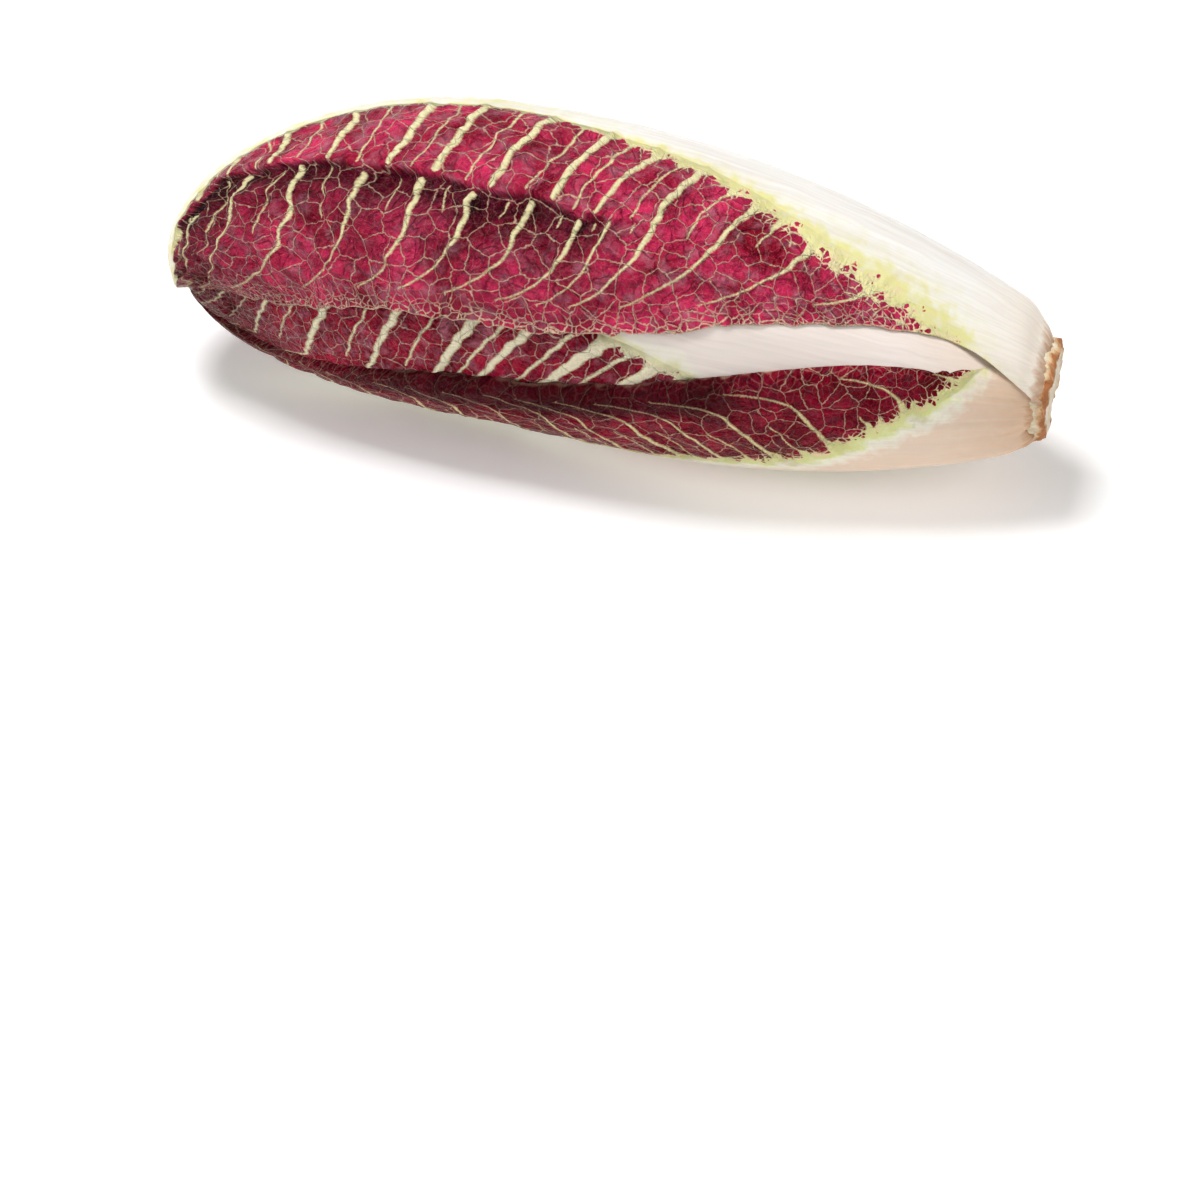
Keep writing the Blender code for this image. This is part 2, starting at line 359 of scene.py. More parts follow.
def side_veins(leaf, u, v, along, across):
    """Numbers the side veins from the base: count is whole on each vein. Gives also the mm from
    one to the next and the half width in mm. Each leaves the midrib along it, sweeps out and
    bends tipwards again to loop into the next. Every second one is a weak one that stops short,
    and below the fold they have slipped along."""
    length = along[:, along.shape[1] // 2].max()
    q = np.clip(np.abs(v) / LOOP_AT, 0, 1)
    count, widths, sides = 0 * u, 0 * u, np.where(v < 0, 0, 1)
    if "fold" in leaf:
        from_line, marked = over_fold(leaf, u, v)
        slip = leaf["slip"] * marked * (1 - smooth((u - 0.72) / 0.2))
        along = along + slip * smooth((from_line - 0.3) / 0.8)
    for side in (0, 1):
        draw = np.random.default_rng(leaf["seed"] + side)
        rows = vein_rows(leaf, side, draw, q, across, length, along.max() + 25)
        number = 0 * u
        for low, high in zip(rows, rows[1:]):
            number = number + np.clip((along - low) / np.maximum(high - low, 1.2), 0, 1)
        nearest = np.round(number).astype(int)
        strength = np.where(np.arange(len(rows) + 1) % 2 == 0, 1.0, WEAK)
        strength = strength * draw.uniform(0.75, 1.15, len(strength))
        size = leaf["vein_width"] * strength[nearest] * (1 - 0.62 * q**0.7) * (1 - leaf["taper"] * u)
        size = size * (1 - 0.6 * smooth((q - 0.72) / 0.28))
        gone = np.where(nearest % 2 == 0, LOOP_AT, WEAK_REACH)
        size = size - 2 * smooth((np.abs(v) - gone) / 0.06)
        if "fold" in leaf:
            size = size - 2 * marked * np.exp(-(((from_line - 0.7) / 0.6) ** 2))
        count = np.where(sides == side, number, count)
        widths = np.where(sides == side, size, widths)
    widths = widths * (1 - 0.6 * smooth((u - 0.86) / 0.1))
    return count, 1 / np.clip(steepness(leaf, u, v, count), 0.04, 1.0), widths


def vein_valley(count, pitch, width):
    """How deep the blade dips beside a strong side vein, on the side of it towards the base."""
    away = (1 - count % 1) * pitch
    strong = smooth((width - 0.25) / 0.35)
    return np.exp(-((away / 3.6) ** 2)) * strong


def vein_ridge(count, pitch, width):
    """How far a point lies in a side vein, from 0 outside it to 1 on its crest."""
    away = np.abs(count - np.round(count)) * pitch
    return np.exp(-((away / np.maximum(1.25 * width, 0.3)) ** 2)) * smooth((width - 0.2) / 0.3)


def fold_of(leaf, u, v):
    """How far the blade stands out on each side of the fold along it, in mm."""
    if "fold" not in leaf:
        return 0 * u
    from_line, marked = over_fold(leaf, u, v)
    above = 0.5 * np.exp(-np.clip(-from_line, 0, None) / 5)
    below = -1.0 * np.exp(-np.clip(from_line - 2, 0, None) / 12)
    step = smooth((from_line + 0.5) / 1.8)
    return leaf["fold_height"] * marked * (above * (1 - step) + below * step)


def relief(leaf, u, v, across, veins):
    """Height of the outer face over the plain blade, in mm: pits, creases, the quilt between the
    veins, gathers at the tip, the veins' crests, lines along the stalk, and the fold."""
    seed = leaf["seed"]
    from_band = np.abs(across) - leaf["band"](u)
    blade, near_blade = smooth(from_band / 8 + 0.5), smooth(from_band / 9 + 1)
    across, along = chart(leaf, u, v)
    tip = smooth((u - 0.70) / 0.25)

    # Pits 7, 3.4 and 1.7 mm apart, creases 9 mm apart that run aslant, and gathers 6 mm apart that
    # run along the leaf to its tip. The margin is less puckered, and the hollow by the fold more.
    pits = 0.60 * waves(across, along * 0.8, 7.0, seed + 2) + 0.42 * waves(across, along, 3.4, seed + 3)
    pits = pits - 0.75 * vein_valley(*veins) + 0.18 * waves(across, along, 1.7, seed + 13)
    creases = waves(across * 0.7 + 0.5 * along, along * 0.5 - across * 0.3, 9, seed + 4)
    creases = 1 - 2 * np.abs(creases)
    gathers = 1.1 * tip * waves(across, along * 0.12, 6, seed + 5)
    quilt = -0.8 * np.sin(np.pi * (veins[0] % 2) / 2) ** 2 * smooth(1.2 - np.abs(v))
    bumps = (pits + quilt + (0.45 + 0.9 * tip) * creases + gathers) * blade * leaf["pucker"]
    bumps = bumps * (1 - 0.6 * smooth((np.abs(v) - 0.8) / 0.2))
    bumps = bumps * (1 + 0.5 * np.clip(-fold_of(leaf, u, v), 0, 1.2))

    # The stalk's long fibres, 1.5 and 4 mm apart, and the veins, which stand out most in the blade.
    lines = 0.10 * waves(across, along * 0.05, 1.5, seed + 10)
    lines = lines + 0.12 * waves(across, along * 0.04, 4, seed + 11)
    crest = vein_ridge(*veins) * np.clip(veins[2], 0, 2) * leaf["vein_rise"]
    crest = crest * (0.15 + 0.35 * near_blade + 0.5 * blade)
    stalk = (lines - 0.22 * vein_valley(*veins) * near_blade) * (1 - blade)
    sunk = leaf["sunk"] * (0.5 + 0.5 * blade)
    height = bumps + stalk + crest + fold_of(leaf, u, v) * blade - sunk
    return HIGHEST - SOFTLY * np.logaddexp(0, (HIGHEST - height) / SOFTLY)


def thickness(leaf, u, v):
    """The blade, thin at the margin and thick along the midrib, in metres."""
    away = v * half_width(leaf, u) * HEAD_RADIUS * 0.8
    rib = leaf["rib"] * (1 - u) ** 0.8 * np.exp(-((away / (leaf["rib_width"] * (1 - 0.75 * u))) ** 2))
    edge = 1 - 0.55 * smooth((np.abs(v) - 0.86) / 0.14)
    return BLADE * edge + rib


def margin_grid(leaf, rows, columns):
    """u and v of a grid over the leaf. Its base is torn a little, and its margin is drawn out to
    lobes about 11 mm apart and to fine teeth about 2 mm apart."""
    u, v = np.meshgrid(np.linspace(0, 1, rows), np.linspace(-1, 1, columns), indexing="ij")
    u = 1 - (1 - u) ** 1.12
    torn = 0.006 * waves(40 * v, 0 * u, 9, leaf["seed"] + 12) + 0.002 * waves(40 * v, 0 * u, 1.7, 7)
    u = u + torn * (1 - u) ** 20
    along = u * leaf["length_mm"]
    teeth = 0.012 * waves(along, 50 * np.sign(v), 11, leaf["seed"] + 6)
    teeth = teeth + 0.013 * waves(along, 50 * np.sign(v), 2.3, leaf["seed"] + 7)
    return u, v * (1 + teeth * np.abs(v) ** 12 * smooth((u - 0.06) / 0.12))


def border(indices):
    """The numbers round the edge of a grid."""
    return np.concatenate([indices[0, :-1], indices[:-1, -1], indices[-1, :0:-1], indices[:0:-1, 0]])


def quads(indices):
    """The four corners of each square of a grid, in order round it."""
    corners = [indices[:-1, :-1], indices[:-1, 1:], indices[1:, 1:], indices[1:, :-1]]
    return np.stack(corners, -1).reshape(-1, 4)


def leaf_faces(outer_at, inner_at, coarse):
    """The quads of the outer and of the inner face, and the rim: one face for each edge of the
    inner one, with all the points of the outer one beside it."""
    ring, inner_ring = border(outer_at), border(inner_at)
    rim = []
    for i in range(len(inner_ring)):
        stretch = [ring[(i * coarse + k) % len(ring)] for k in range(coarse, -1, -1)]
        rim.append((*stretch, inner_ring[i], inner_ring[(i + 1) % len(inner_ring)]))
    return [*map(tuple, quads(outer_at)), *map(tuple, quads(inner_at)[:, ::-1])], rim


def skin_guides(leaf, u, v, along, across, veins):
    """What the leaf's skin reads at each point, three numbers to a name: its place on the flat
    leaf in mm; its side vein; how pale it is, the mm to the margin and how deep it is shaded."""
    edge = np.minimum(across.max(1)[:, None] - across, across - across.min(1)[:, None])
    edge = np.minimum(edge, along.max(0)[None, :] - along + 4 * (u < 0.9))
    pale = 0.5 + (leaf["band"](u) - np.abs(across)) / leaf["band_soft"](u)
    pale = np.minimum(pale, 3 - 2.2 * smooth(u / 0.65))
    aside, upward = chart(leaf, u, v)
    bend = [0.8 * waves(aside, upward, 8, leaf["seed"] + k) for k in (8, 9)]
    net = [aside + bend[0], upward + bend[1], 0 * u + 9 * leaf["seed"]]
    # Painted shade: below the fold, towards the tip, in the leaf's own dusk, and on the base side of each
    # strong side vein.
    shade = np.clip(-fold_of(leaf, u, v) / 1.1, 0, 1) + 0.6 * smooth((u - 0.78) / 0.15)
    patchy = 0.55 + 0.45 * waves(across, along, 9, leaf["seed"] + 14)
    shade = shade + leaf["dusk"](u, v) + 0.55 * vein_valley(*veins) * patchy
    return {"net": net, "side_veins": veins, "zones": (pale, edge, shade)}


def grow_leaf(name, leaf, rows, columns, coarse, material):
    """A closed leaf, bedded on the head: a fine outer face with all its relief, an inner face that
    is coarse times coarser, and the rim. Over the shoulder it rounds in to the butt."""
    u, v = margin_grid(leaf, rows * coarse + 1, columns * coarse + 1)
    along, across = flat_size(leaf, u, v)
    veins = side_veins(leaf, u, v, along, across)
    thick = thickness(leaf, u, v)
    from_base = along / 1e3 / SHOULDER
    base = 1 - np.sqrt(1 - np.clip(1 - from_base, 0, 1) ** 2)
    sink = leaf["tuck"] * base + leaf["droop"](u, v)
    rise = relief(leaf, u, v, across, veins) / 1e3
    outer = lay(leaf, u, v, thick * (1 - 0.6 * base) - sink + rise)
    pick = np.s_[::coarse, ::coarse]
    inner = lay(leaf, u[pick], v[pick], np.minimum(rise, 0)[pick] * 0.9 - sink[pick], PRESSED_BLADE)
    outer_at = np.arange(u.size).reshape(u.shape)
    inner_at = np.arange(inner[..., 0].size).reshape(inner.shape[:2]) + u.size
    sheets, rim = leaf_faces(outer_at, inner_at, coarse)
    points = np.concatenate([outer.reshape(-1, 3), inner.reshape(-1, 3)])
    piece = mesh_piece(name, points, sheets + rim, material)
    for key, parts in skin_guides(leaf, u, v, along, across, veins).items():
        fine = np.stack(parts, -1)
        attribute(piece.data, key, np.concatenate([fine.reshape(-1, 3), fine[pick].reshape(-1, 3)]))
    unfold(piece, u.shape, inner.shape[:2], len(rim), coarse)
    if is_inside_out(piece):
        piece.data.flip_normals()
    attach(piece, "root")
    return piece


def is_inside_out(piece):
    """True where the faces of a closed piece look inwards."""
    mesh = piece.data
    mesh.calc_loop_triangles()
    points = np.empty(len(mesh.vertices) * 3)
    mesh.vertices.foreach_get("co", points)
    corners = np.empty(len(mesh.loop_triangles) * 3, int)
    mesh.loop_triangles.foreach_get("vertices", corners)
    a, b, c = np.moveaxis(points.reshape(-1, 3)[corners.reshape(-1, 3)], 1, 0)
    return np.einsum("ij,ij->", a, np.cross(b, c)) < 0


def unfold(piece, fine, rough, rim_faces, coarse):
    """Lays the two faces and the rim beside each other on a square, as if cut apart: the outer
    face takes four fifths of it, the inner one the rest, and the rim the gap between them."""
    sheets = []
    for (rows, columns), low, high in ((fine, 0.02, 0.80), (rough, 0.84, 0.98)):
        across, along = np.meshgrid(np.linspace(low, high, columns), np.linspace(0.02, 0.98, rows))
        sheets.append(np.stack([along, across], -1).reshape(-1, 2))
    sheets = np.concatenate(sheets)
    mesh = piece.data
    corners = np.empty(len(mesh.loops), int)
    mesh.loops.foreach_get("vertex_index", corners)
    places = sheets[corners]
    rim = np.empty((rim_faces, coarse + 3, 2))
    start = np.linspace(0.02, 0.98, rim_faces + 1)[:-1, None]
    step = start[1, 0] - start[0, 0]
    rim[:, : coarse + 1, 0] = start + step * np.linspace(0.95, 0, coarse + 1)
    rim[:, coarse + 1 :, 0] = start + step * np.array([0, 0.95])
    rim[:, : coarse + 1, 1] = 0.812
    rim[:, coarse + 1 :, 1] = 0.828
    places[-rim.shape[0] * rim.shape[1] :] = rim.reshape(-1, 2)
    mesh.uv_layers.new(name="OFBake").data.foreach_set("uv", places.ravel())


def crumpled(add, net):
    """The blade's sharp little ridges, 4.2 and 1.7 mm apart, and creases that wind about, which also carry
    painted shade.
    """
    winding = add("TexNoise", Vector=net, Scale=0.16, Detail=2.5, Distortion=0.7)
    winding = add("Math", winding, 0.5, operation="SUBTRACT")
    winding = add("Math", winding, operation="ABSOLUTE")
    crease = add("Math", winding, -16.0, 1.0, operation="MULTIPLY_ADD", use_clamp=True)
    ridges = []
    for size in (4.2, 1.7):
        cell = add("TexVoronoi", Vector=net, Scale=1 / size, Randomness=1.0, voronoi_dimensions="2D")
        ridges.append(add("Math", cell, 0.35 * size, operation="MULTIPLY"))
    ridges = add("Math", *ridges, operation="ADD")
    sunk = add("Math", crease, -0.5, operation="MULTIPLY")
    return add("Math", ridges, sunk, operation="ADD"), crease


def along_side_veins(add, net, veins, pale, mottle):
    """The mm a point lies inside a side vein or the stalk, with ragged flanks, and from that a
    share that is 1 on them."""
    count, pitch, width = add("SeparateXYZ", veins).node.outputs
    fibre = add("TexNoise", Vector=net, Scale=1.7, Detail=2.0)
    ragged = add("Math", fibre, 0.6, -0.3, operation="MULTIPLY_ADD")
    blotch = add("Math", mottle, 0.4, -0.2, operation="MULTIPLY_ADD")
    ragged = add("Math", blotch, width, ragged, operation="MULTIPLY_ADD")
    away = add("Math", count, 0.5, operation="PINGPONG")
    away = add("Math", away, pitch, operation="MULTIPLY")
    away = add("Math", away, ragged, operation="ADD")
    inside = add("Math", width, away, operation="SUBTRACT")
    inside = add("Math", pale, 2.5, inside, operation="MULTIPLY_ADD")
    return inside, add("Math", inside, 2.5, 0.6, operation="MULTIPLY_ADD", use_clamp=True)


def round_cells(add, wavy, pale, near_edge, cell, thin, swell, at_edge, faint, at_margin):
    """One net of veins round cells of this many mm. A vein reaches this thin to each side, in mm,
    and swells towards the stalk and the edge until only spots of red are left between. It is as
    faint as given, and clearer by the stalk and at the margin."""
    cells = dict(Vector=wavy, Scale=1 / cell, Randomness=1.0, voronoi_dimensions="2D")
    middle = add("TexVoronoi", **cells)
    gap = add("TexVoronoi", feature="DISTANCE_TO_EDGE", **cells)
    spot = add("Math", pale, -1.6, 1.1, operation="MULTIPLY_ADD")
    spot = add("Math", spot, middle, operation="SUBTRACT")
    gap = add("Math", gap, spot, operation="MINIMUM")
    gap = add("Math", gap, cell, operation="MULTIPLY")
    half = add("Math", pale, swell * cell, thin, operation="MULTIPLY_ADD")
    half = add("Math", near_edge, at_edge, half, operation="MULTIPLY_ADD")
    line = add("Math", half, gap, operation="SUBTRACT")
    line = add("Math", line, 4.0, 0.5, operation="MULTIPLY_ADD", use_clamp=True)
    full = add("Math", pale, 6.0, faint, operation="MULTIPLY_ADD")
    full = add("Math", near_edge, at_margin, full, operation="MULTIPLY_ADD")
    full = add("Math", full, 1.0, operation="MINIMUM")
    return add("Math", line, full, operation="MULTIPLY")


def sap_colour(add, net, shade, mottle, crease, hues, sheen_strength):
    """Red sap in light and deep patches of about 14 mm, with painted shade in the hollows, in mottled
    spots and along the creases, under a thin painted pink sheen that fades where shade is painted."""
    deep_red, light_red, shaded_red = hues
    patches = add("TexNoise", Vector=net, Scale=0.07, Detail=4.0)
    patches = add("Math", patches, 3.0, -1.0, operation="MULTIPLY_ADD", use_clamp=True)
    # Painted shade: the leaf's shade share turns the red towards the shaded red.
    painted_shade_share = add("Math", shade, 0.8, operation="MULTIPLY", use_clamp=True)
    # Painted shade in mottled spots and along the winding creases, mixed towards the shaded red.
    deep = add("Math", mottle, 3.0, -1.1, operation="MULTIPLY_ADD", use_clamp=True)
    deep = add("Math", deep, 0.5, operation="MULTIPLY")
    deep = add("Math", crease, 0.35, deep, operation="MULTIPLY_ADD", use_clamp=True)
    deep = add("Math", deep, 0.9, operation="MULTIPLY")
    # A painted pink sheen in patches, standing in for gloss; it is weakest where shade is painted.
    painted_sheen = add("TexNoise", Vector=net, Scale=0.25, Detail=5.0)
    painted_sheen = add("Math", painted_sheen, 4.0, -2.0, operation="MULTIPLY_ADD", use_clamp=True)
    lit = add("Math", shade, -sheen_strength, sheen_strength, operation="MULTIPLY_ADD", use_clamp=True)
    painted_sheen = add("Math", painted_sheen, lit, operation="MULTIPLY")
    red = colour(deep_red)
    shares = ((patches, light_red), (painted_shade_share, shaded_red), (deep, shaded_red), (painted_sheen, "#E493A8"))
    for share, code in shares:
        red = add("Mix", share, red, colour(code), data_type="RGBA")
    return red


def ivory_colour(add, net, paleness, pale, vein_mm, on_vein, mottle, streaks, hues):
    """Ivory of the veins and the stalk: pink where they are thin, with painted greenish shade along the
    flanks of the side veins, tan and scarred towards the base, and dull in long streaks."""
    vein, glow, rib, base_tan = hues
    share = add("Math", paleness, 0.3, operation="MULTIPLY", use_clamp=True)
    stops = ((0.0, vein), (0.17, glow), (0.27, "#F4F1DE"), (0.4, rib))
    ivory = add("ValToRGB", share, stops=stops)
    thin = add("Math", 1.0, on_vein, operation="SUBTRACT")
    thin = add("Math", pale, -2.0, thin, operation="MULTIPLY_ADD", use_clamp=True)
    thin = add("Math", thin, 0.7, operation="MULTIPLY")
    # Painted greenish shade along the flanks of the side veins, so that they look round.
    flank_shade = add("Math", vein_mm, -2.0, 1.0, operation="MULTIPLY_ADD", use_clamp=True)
    beside = add("Math", pale, -3.0, on_vein, operation="MULTIPLY_ADD", use_clamp=True)
    flank_shade = add("Math", flank_shade, beside, operation="MULTIPLY")
    flank_shade = add("Math", flank_shade, 0.7, operation="MULTIPLY")
    from_base = add("SeparateXYZ", net, output="Y")
    tan = add("Math", from_base, -1 / 60, 0.75, operation="MULTIPLY_ADD")
    tan = add("Math", tan, 0.2, operation="SUBTRACT")
    tan = add("Math", mottle, 0.3, tan, operation="MULTIPLY_ADD", use_clamp=True)
    scar = add("Math", from_base, -0.4, 0.0, operation="MULTIPLY_ADD")
    scar = add("Math", mottle, 2.6, scar, operation="MULTIPLY_ADD", use_clamp=True)
    scar = add("Math", scar, 0.7, operation="MULTIPLY")
    dull = add("Math", streaks, 2.0, -0.75, operation="MULTIPLY_ADD", use_clamp=True)
    on_stalk = add("Math", pale, 0.55, operation="MULTIPLY")
    dull = add("Math", dull, on_stalk, operation="MULTIPLY")
    layers = ((thin, "#F2C4AC"), (flank_shade, "#C4BC7C"), (tan, base_tan), (scar, "#B9824E"), (dull, "#D9CCC2"))
    for share, code in layers:
        ivory = add("Mix", share, ivory, colour(code), data_type="RGBA")
    return ivory


def leaf_skin(name, sap, ivory, fine_edge=0.9, veins_dim=0.12, shine=0.11, sheen_strength=0.42):
    """Waxy leaf skin, grown, not polished: satin, with matt and glossy grain of about 1 mm. Red sap
    colours the cells between the veins, and the veins and the stalk stay ivory. Sap names its
    deep, light and shaded red, ivory its veins, the glow beside the stalk, the stalk and its base.
    The net is measured in mm, so a scale is 1 / a size in mm: the mottle's is 4 mm."""
    made, add = new_material(name)
    net = add("Attribute", attribute_name="net", output="Vector")
    veins = add("Attribute", attribute_name="side_veins", output="Vector")
    zones = add("Attribute", attribute_name="zones", output="Vector")
    pale, edge, shade = add("SeparateXYZ", zones).node.outputs
    blade_only = add("Math", pale, -1.3, 0.8, operation="MULTIPLY_ADD", use_clamp=True)
    mottle = add("TexNoise", Vector=net, Scale=0.25, Detail=3.0)
    grain = add("TexNoise", Vector=net, Scale=1.1, Detail=3.0)
    long_ways = add("Mapping", Vector=net, Scale=(1.0, 0.04, 1.0))
    streaks = add("TexNoise", Vector=long_ways, Scale=0.7, Detail=2.0)
    pebbled = add("Math", mottle, 1.1, -0.55, operation="MULTIPLY_ADD")
    paleness = add("Math", pale, pebbled, operation="ADD")
    pale = add("Math", paleness, 1.0, operation="MULTIPLY", use_clamp=True)
    crumple, crease = crumpled(add, net)
    vein_mm, on_vein = along_side_veins(add, net, veins, pale, mottle)

    # The veins dim with the shade round them, the side veins less, and the stalk not at all.
    bright = add("Math", shade, -veins_dim, 1.0, operation="MULTIPLY_ADD", use_clamp=True)
    bright = add("Math", bright, pale, operation="MAXIMUM")
    half_bright = add("Math", bright, 0.7, 0.3, operation="MULTIPLY_ADD")
    lines = add("Math", on_vein, half_bright, operation="MULTIPLY")
    cords = add("Math", on_vein, 0.7, operation="MULTIPLY")

    # Two nets between them, coarse and fine. Within 8 mm of the margin the fine one is broader, and
    # the margin itself is a line of 0.4 mm.
    near_edge = add("Math", edge, -0.13, 1.0, operation="MULTIPLY_ADD", use_clamp=True)
    wavy = add("TexNoise", Vector=net, Scale=0.55, Detail=2.0, output="Color")
    wavy = add("VectorMath", wavy, (1.6, 1.6, 0.0), net, operation="MULTIPLY_ADD")
    for cell, thin, swell, at_edge, faint, at_margin in (
        (6.0, 0.12, 0.10, 0.0, 0.75, fine_edge / 3),
        (2.6, 0.03, 0.20, 0.16, 0.10, fine_edge),
    ):
        line = round_cells(add, wavy, pale, near_edge, cell, thin, swell, at_edge, faint, at_margin)
        dimmed = add("Math", line, bright, operation="MULTIPLY")
        lines = add("Math", lines, dimmed, operation="MAXIMUM")
        cord = add("Math", line, 0.22 * cell**0.5, operation="MULTIPLY")
        cords = add("Math", cords, cord, operation="ADD")
    rim_line = add("Math", edge, -2.4, 0.96, operation="MULTIPLY_ADD", use_clamp=True)
    rim_line = add("Math", rim_line, bright, operation="MULTIPLY")
    lines = add("Math", lines, rim_line, operation="MAXIMUM")

    red = sap_colour(add, net, shade, mottle, crease, sap, sheen_strength)
    cream = ivory_colour(add, net, paleness, pale, vein_mm, on_vein, mottle, streaks, ivory)
    base = add("Mix", lines, red, cream, data_type="RGBA")

    # The grain shows only in the blade. The stalk is smooth but for its long streaks.
    rough = add("Math", grain, 0.5, operation="SUBTRACT")
    rough = add("Math", rough, blade_only, operation="MULTIPLY")
    rough = add("Math", rough, 0.3, 0.29, operation="MULTIPLY_ADD")
    height = add("Math", mottle, 1.8, operation="MULTIPLY")
    height = add("Math", cords, height, operation="ADD")
    height = add("Math", grain, 0.8, height, operation="MULTIPLY_ADD")
    between = add("Math", on_vein, -0.8, 1.0, operation="MULTIPLY_ADD")
    height = add("Math", crumple, between, height, operation="MULTIPLY_ADD")
    height = add("Math", height, blade_only, operation="MULTIPLY")
    height = add("Math", streaks, 0.1, height, operation="MULTIPLY_ADD")
    uniform = {"Subsurface_Weight": 0.06, "Subsurface_Scale": 0.0015, "Specular_IOR_Level": shine}
    surface(add, base, rough, height, 0.0008, **uniform)
    return made


def flat(u, v):
    """Neither sunk nor shaded anywhere."""
    return 0 * u


def margins_down(u, v):
    """Both margins sink on to the leaves under them, most of all at the tip."""
    along = smooth((u - 0.055) / 0.05) * (0.0019 + 0.0022 * smooth((u - 0.6) / 0.25))
    return smooth((np.abs(v) - 0.70) / 0.30) * along


def top_band(u):
    """Half the width of the ivory stalk and midrib, in mm, at u of the leaf's length."""
    return np.interp(u, [0, 0.09, 0.25, 0.37, 0.53, 0.67, 1.0], [40, 27, 24, 16, 10, 7.0, 3.2])


def top_band_soft(u):
    """Over how many mm the ivory gives way to red."""
    return 2.0 + 15 * (1 - smooth((u - 0.1) / 0.5))


# Bearing, sway, clasp and the widths to each side are degrees round the head. Start and end are
# shares of the way from neck to tip, spread_by and tip are where the leaf is at its full width and
# how much of it is left at the tip. Depth, rib, tuck and droop are metres, and the veins' and the
# fold's sizes are mm. The fold's line is given as shares of the length and of the half width.
TOP = dict(
    depth=0.0012, bearing=-38, sway=2, base_width=64, width=108, spread_by=0.58, tip=0.9, clasp=40,
    rib=0.0030, rib_width=0.014, start=-0.016, end=0.985, length_mm=241, seed=11,
    sweep=44, vein_pitch=17.0, vein_width=1.0, taper=0.35, vein_rise=0.8, pucker=1.0, sunk=0.9,
    band=top_band, band_soft=top_band_soft, tuck=0.0032, droop=margins_down, dusk=flat,
    fold=([0.40, 0.59, 0.70, 0.78, 0.83, 1.0], [0.60, 0.53, 0.45, 0.33, 0.2, 0.1]),
    fold_height=1.5, slip=9,
)

crimson_skin = leaf_skin(
    "crimson_leaf_skin",
    sap=("#900628", "#E23466", "#280008"),
    ivory=("#EEE6B8", "#E9E49A", "#F9F6F0", "#F4E2CC"),
)
top = grow_leaf("outer_leaf_top_veined", TOP, 76, 74, 4, crimson_skin)
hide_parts("outer_leaf_top")


# ---------------------------------------------------------------------------------------------
# The outer leaf round the underside, and the two leaves that show in the strips between it and
# the top leaf. They are like the top leaf, with broader stalks the further in they stand. The
# underside leaf's front margin is rolled in, and is painted in deep shade along the roll.


def rolled_front(u, v):
    """The front margin turns in, down on to the leaf inside it."""
    turn = 1 - np.sqrt(1 - np.clip((-v - 0.86) / 0.14, 0, 1) ** 2)
    return (0.0034 + 0.001 * smooth((u - 0.6) / 0.25)) * turn * smooth((u - 0.02) / 0.1)


def rolled_dusk(u, v):
    """The roll is deeply shaded, but not by the butt and less towards the tip."""
    along = smooth((u - 0.22) / 0.12) * (1 - 0.85 * smooth((u - 0.62) / 0.25))
    return smooth((-v - 0.70) / 0.15) * along


def under_band(u):
    """The stalk narrows early, and its midrib has run out before the tip."""
    return np.interp(u, [0, 0.08, 0.16, 0.22, 0.45, 0.88, 1.0], [40, 25, 18, 11, 7, 2.5, -5])


def pushed_out(u, v):
    """Pressed against the leaves round it by the heart, at the tip and a little at the base."""
    tip = 0.0036 * smooth((u - 0.55) / 0.3) + 0.0028 * smooth((u - 0.88) / 0.11)
    return -tip - 0.0010 * (1 - smooth((u - 0.05) / 0.12))


def stalk_band(u):
    """A broad stalk for the first third, then a midrib that runs out before the tip."""
    return np.interp(u, [0, 0.25, 0.33, 0.40, 0.50, 0.70, 0.88, 1.0], [34, 30, 15, 11, 7, 4, 2, -5])


def medium_soft(u):
    """Over how many mm the ivory gives way to red."""
    return 4 + 7 * (1 - smooth((u - 0.1) / 0.4))


UNDERSIDE = dict(
    depth=0.0030, bearing=128, sway=60, base_width=92, width=64, spread_by=0.5, tip=0.9, clasp=0,
    rib=0.0024, rib_width=0.013, start=-0.012, end=0.99, length_mm=225, seed=23,
    sweep=40, vein_pitch=14.0, vein_width=0.8, taper=0.35, vein_rise=0.6, pucker=0.7, sunk=0.3,
    band=under_band, band_soft=medium_soft, tuck=0.0010, droop=rolled_front, dusk=rolled_dusk,
)
FRONT = dict(
    depth=0.0067, bearing=52, sway=-5, base_width=60, width=84, spread_by=0.7, tip=1.0, clasp=0,
    rib=0.0021, rib_width=0.012, start=start_of(0.0067), end=0.995, length_mm=205, seed=37,
    sweep=66, vein_pitch=21.0, vein_width=3.0, taper=0.9, vein_rise=0.25, pucker=0.6, sunk=0.2,
    band=stalk_band, band_soft=medium_soft, tuck=0.0, droop=pushed_out, dusk=flat,
)
BACK = dict(FRONT, bearing=-128, sway=-4, base_width=70, seed=41)

rolled_skin = leaf_skin(
    "dark_crimson_leaf_skin",
    sap=("#6A0012", "#9C0A30", "#300008"),
    ivory=("#E8D9A8", "#D9DE92", "#ECD3BC", "#D9B08A"),
    fine_edge=0.10, veins_dim=0.88, shine=0.05, sheen_strength=0.06,
)
ribbed_skin = leaf_skin(
    "ribbed_leaf_skin",
    sap=("#7C001C", "#B40E3A", "#3A0010"),
    ivory=("#F4EACB", "#E6E2B0", "#F2E6DE", "#EBCFB4"),
    fine_edge=0.25,
)
for name, node_name, leaf, rows, columns, skin in (
    ("outer_leaf_underside_rolled", "outer_leaf_underside", UNDERSIDE, 74, 72, rolled_skin),
    ("outer_leaf_front_ribbed", "outer_leaf_front", FRONT, 60, 60, ribbed_skin),
    ("outer_leaf_back_ribbed", "outer_leaf_back", BACK, 60, 60, ribbed_skin),
):
    piece = grow_leaf(name, leaf, rows, columns, 4, skin)
    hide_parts(node_name)


# ---------------------------------------------------------------------------------------------
# The leaves inside.
# Thinner and brighter the further in they stand, with white ribs, and pink at the heart. They
# stand on the stem at 137.5 degrees to one another, as they grew.

